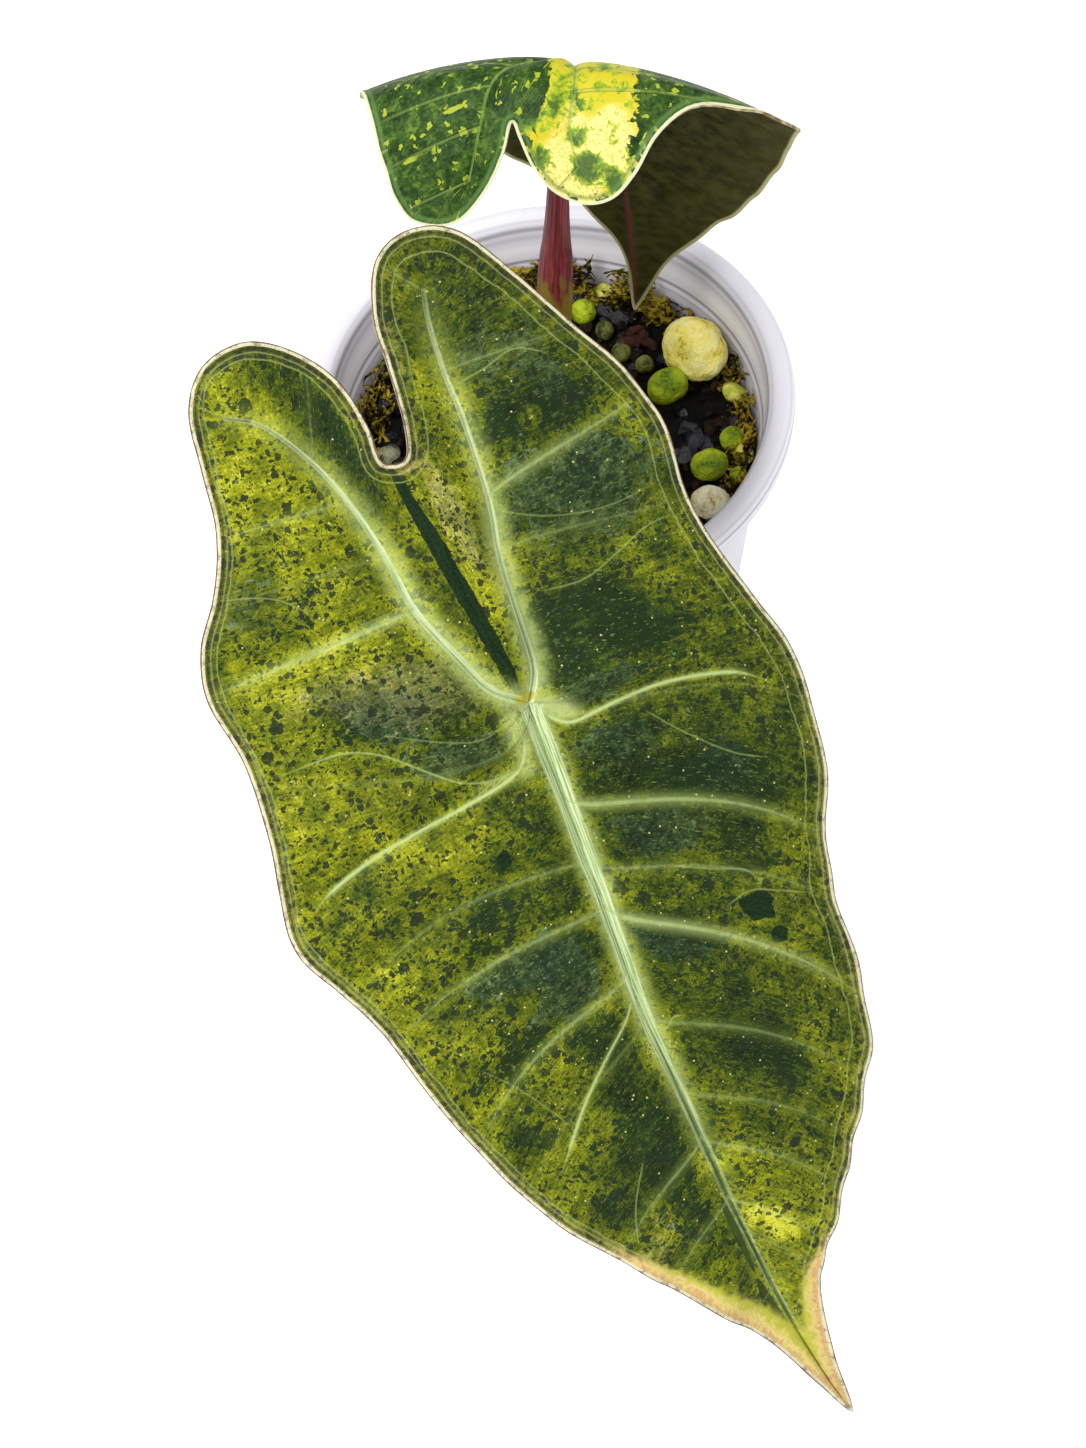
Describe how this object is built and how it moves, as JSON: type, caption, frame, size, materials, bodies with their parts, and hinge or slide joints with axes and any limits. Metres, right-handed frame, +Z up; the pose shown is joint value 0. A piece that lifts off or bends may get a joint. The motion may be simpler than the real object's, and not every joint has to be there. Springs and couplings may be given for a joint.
{
  "type": "potted houseplant",
  "caption": "Potted variegated alocasia: a large arrow-shaped leaf arching over the rim and a younger folded leaf, in a translucent nursery cup of dark mix topped with stones.",
  "frame": {"origin": "centre of the cup's flat base, on the surface that the cup stands on", "axes": "+Z up; -Y is the front, the side that the large leaf hangs over; +X is to the right seen from the front"},
  "size_m": [0.1358, 0.2886, 0.209],
  "materials": {
    "pot": "milky translucent",
    "mix": "rough, damp",
    "stone_pale": "matt",
    "stone_green": "matt",
    "stem": "matt",
    "stalk": "satin",
    "blade": "satin"
  },
  "bodies": {
    "root": {"pot": "pot", "substrate": "mix", "stone_big_cream": "stone_pale", "stone_green_large": "stone_green", "stone_yellow_rim": "stone_pale", "stone_green_right": "stone_green", "stone_cracked": "stone_pale", "stone_green_small": "stone_green", "stone_lime_wall": "stone_pale", "stone_green_wall": "stone_green", "stone_yellow_back": "stone_pale", "stone_green_back": "stone_green", "stone_pale_inner": "stone_pale", "stone_pale_middle": "stone_pale", "stone_pale_outer": "stone_pale", "stone_cream_back": "stone_pale", "stone_grey_sinus": "stone_green", "stem": "stem", "stalk_back": "stalk", "stalk_front": "stalk", "blade_back": "blade", "blade_front": "blade"}
  },
  "joints": []
}
